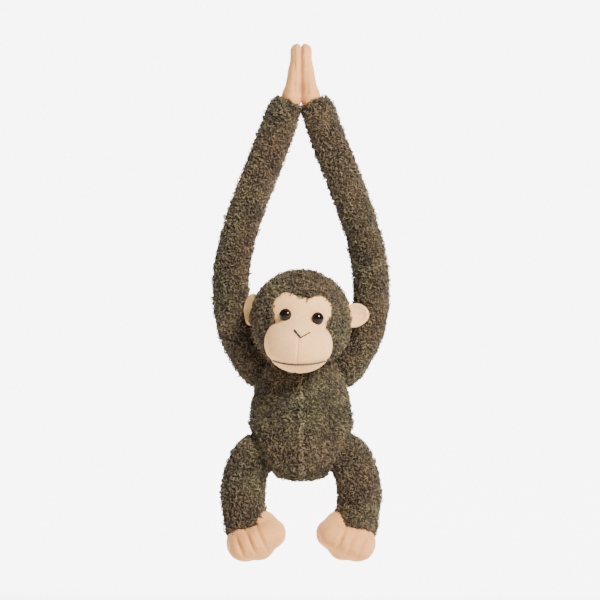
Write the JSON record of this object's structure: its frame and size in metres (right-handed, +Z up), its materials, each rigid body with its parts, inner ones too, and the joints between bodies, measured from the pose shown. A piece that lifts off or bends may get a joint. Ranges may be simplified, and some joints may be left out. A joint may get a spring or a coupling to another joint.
{
  "type": "stuffed monkey",
  "caption": "Long-armed plush monkey with a stuffed round body, jointed limbs and head, and palms that close over a branch so that it hangs.",
  "frame": {"origin": "the grip: the point under the joined palms that rests on a branch, on the toy's middle plane", "axes": "+Z up, the toy's face looks along -Y, +X is the toy's own left"},
  "size_m": [0.1686, 0.119, 0.498],
  "materials": {
    "pile": "curly teddy pile, about 6 mm, mottled dark olive brown",
    "plush": "short smooth plush, pale peach",
    "filling": "polyester fibre filling",
    "thread": "dark brown sewing and embroidery thread",
    "eye": "polished near-black dome",
    "washer": "moulded lock washer",
    "closure": "hook-and-loop tape, sewn on",
    "tape": "blank woven satin tape"
  },
  "bodies": {
    "torso": {"torso_front_left": "pile", "torso_front_right": "pile", "torso_back_left": "pile", "torso_back_right": "pile", "torso_stuffing": "filling", "sewn_in_label": "tape"},
    "neck": {"neck_seam_thread": "thread"},
    "head": {"head_left_panel": "pile", "head_right_panel": "pile", "head_crown_strip": "pile", "head_stuffing": "filling", "eye_mask": "plush", "muzzle_left_panel": "plush", "muzzle_right_panel": "plush", "chin_panel": "plush", "muzzle_stuffing": "filling", "left_eye": "eye", "right_eye": "eye", "left_eye_washer": "washer", "right_eye_washer": "washer", "nose_stitches": "thread", "mouth_stitches": "thread", "left_ear_front": "plush", "left_ear_back": "plush", "right_ear_front": "plush", "right_ear_back": "plush"},
    "left_shoulder": {"left_shoulder_seam_thread": "thread"},
    "left_upper_arm": {"left_arm_sleeve": "pile", "left_upper_arm_stuffing": "filling"},
    "left_forearm": {"left_forearm_stuffing": "filling"},
    "left_hand": {"left_hand_palm": "plush", "left_hand_back": "plush", "left_hand_stuffing": "filling", "left_hook_patch": "closure"},
    "left_hip": {"left_hip_seam_thread": "thread"},
    "left_leg": {"left_leg_sleeve": "pile", "left_leg_stuffing": "filling"},
    "left_foot": {"left_foot_upper": "plush", "left_foot_sole": "plush", "left_foot_stuffing": "filling", "left_toe_stitches": "thread"},
    "right_shoulder": {"right_shoulder_seam_thread": "thread"},
    "right_upper_arm": {"right_arm_sleeve": "pile", "right_upper_arm_stuffing": "filling"},
    "right_forearm": {"right_forearm_stuffing": "filling"},
    "right_hand": {"right_hand_palm": "plush", "right_hand_back": "plush", "right_hand_stuffing": "filling", "right_loop_patch": "closure"},
    "right_hip": {"right_hip_seam_thread": "thread"},
    "right_leg": {"right_leg_sleeve": "pile", "right_leg_stuffing": "filling"},
    "right_foot": {"right_foot_upper": "plush", "right_foot_sole": "plush", "right_foot_stuffing": "filling", "right_toe_stitches": "thread"}
  },
  "joints": [
    {"name": "neck_turn", "type": "hinge", "parent": "torso", "child": "neck", "pos_m": [0, -0.025, -0.186], "axis": [0, 0, 1], "range_deg": [-30, 30], "deforming": ["left_ear_front", "left_ear_back", "right_ear_front", "right_ear_back"]},
    {"name": "head_nod", "type": "hinge", "parent": "neck", "child": "head", "pos_m": [0, -0.025, -0.186], "axis": [1, 0, 0], "range_deg": [-20, 5]},
    {"name": "left_arm_forward", "type": "hinge", "parent": "torso", "child": "left_shoulder", "pos_m": [0.04109, 0, -0.23592], "axis": [1, 0, 0], "range_deg": [-20, 60]},
    {"name": "left_arm_out", "type": "hinge", "parent": "left_shoulder", "child": "left_upper_arm", "pos_m": [0.04109, 0, -0.23592], "axis": [0, 1, 0], "range_deg": [0, 90]},
    {"name": "left_elbow", "type": "hinge", "parent": "left_upper_arm", "child": "left_forearm", "pos_m": [0.05432, 0, -0.08636], "axis": [0.9367, 0, 0.3502], "range_deg": [0, 75], "deforming": ["left_arm_sleeve"]},
    {"name": "left_wrist", "type": "hinge", "parent": "left_forearm", "child": "left_hand", "pos_m": [0.013, 0, 0.02417], "axis": [0, 1, 0], "range_deg": [0, 35]},
    {"name": "left_leg_out", "type": "hinge", "parent": "torso", "child": "left_hip", "pos_m": [0.042, -0.012, -0.313], "axis": [0, -1, 0], "range_deg": [-3, 25]},
    {"name": "left_leg_forward", "type": "hinge", "parent": "left_hip", "child": "left_leg", "pos_m": [0.042, -0.012, -0.313], "axis": [-1, 0, 0], "range_deg": [-10, 65]},
    {"name": "left_ankle", "type": "hinge", "parent": "left_leg", "child": "left_foot", "pos_m": [0.052, -0.012, -0.386], "axis": [1, 0, 0], "range_deg": [-12, 20]},
    {"name": "right_arm_forward", "type": "hinge", "parent": "torso", "child": "right_shoulder", "pos_m": [-0.04109, 0, -0.23592], "axis": [1, 0, 0], "range_deg": [-20, 60]},
    {"name": "right_arm_out", "type": "hinge", "parent": "right_shoulder", "child": "right_upper_arm", "pos_m": [-0.04109, 0, -0.23592], "axis": [0, -1, 0], "range_deg": [0, 90]},
    {"name": "right_elbow", "type": "hinge", "parent": "right_upper_arm", "child": "right_forearm", "pos_m": [-0.05432, 0, -0.08636], "axis": [0.9367, 0, -0.3502], "range_deg": [0, 75], "deforming": ["right_arm_sleeve"]},
    {"name": "right_wrist", "type": "hinge", "parent": "right_forearm", "child": "right_hand", "pos_m": [-0.013, 0, 0.02417], "axis": [0, -1, 0], "range_deg": [0, 35]},
    {"name": "right_leg_out", "type": "hinge", "parent": "torso", "child": "right_hip", "pos_m": [-0.042, -0.012, -0.313], "axis": [0, 1, 0], "range_deg": [-3, 25]},
    {"name": "right_leg_forward", "type": "hinge", "parent": "right_hip", "child": "right_leg", "pos_m": [-0.042, -0.012, -0.313], "axis": [-1, 0, 0], "range_deg": [-10, 65]},
    {"name": "right_ankle", "type": "hinge", "parent": "right_leg", "child": "right_foot", "pos_m": [-0.052, -0.012, -0.386], "axis": [1, 0, 0], "range_deg": [-12, 20]}
  ]
}
